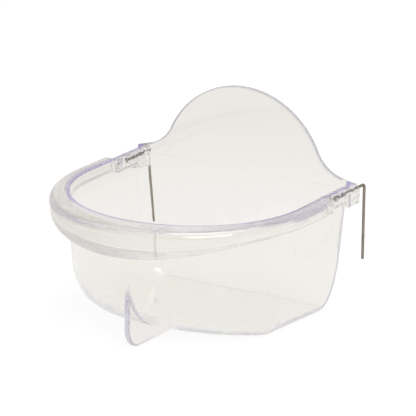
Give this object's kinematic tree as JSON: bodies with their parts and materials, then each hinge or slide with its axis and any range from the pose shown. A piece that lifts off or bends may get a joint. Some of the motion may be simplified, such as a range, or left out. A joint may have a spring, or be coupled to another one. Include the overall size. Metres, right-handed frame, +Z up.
{
  "type": "seed cup",
  "caption": "Clear half-round seed cup with an arched back plate, a thick perch rim and a front foot, hung on cage bars by bent wire hooks.",
  "frame": {"origin": "on the standing surface, under the centre of the half-round front", "axes": "+X to the right, +Y to the back where the hooks are, +Z up"},
  "size_m": [0.1112, 0.1166, 0.0885],
  "materials": {
    "clear_polystyrene": "clear, moulded, polished",
    "steel_wire": "drawn wire, dull"
  },
  "bodies": {
    "cup": {"cup_moulding": "clear_polystyrene"},
    "left_hook": {"left_hook": "steel_wire"},
    "right_hook": {"right_hook": "steel_wire"}
  },
  "joints": [
    {"name": "left_hook_swivel", "type": "hinge", "parent": "cup", "child": "left_hook", "pos_m": [-0.0495, 0.0459, 0.052], "axis": [0, 1, 0], "continuous": true},
    {"name": "right_hook_swivel", "type": "hinge", "parent": "cup", "child": "right_hook", "pos_m": [0.0495, 0.0459, 0.052], "axis": [0, 1, 0], "continuous": true}
  ]
}
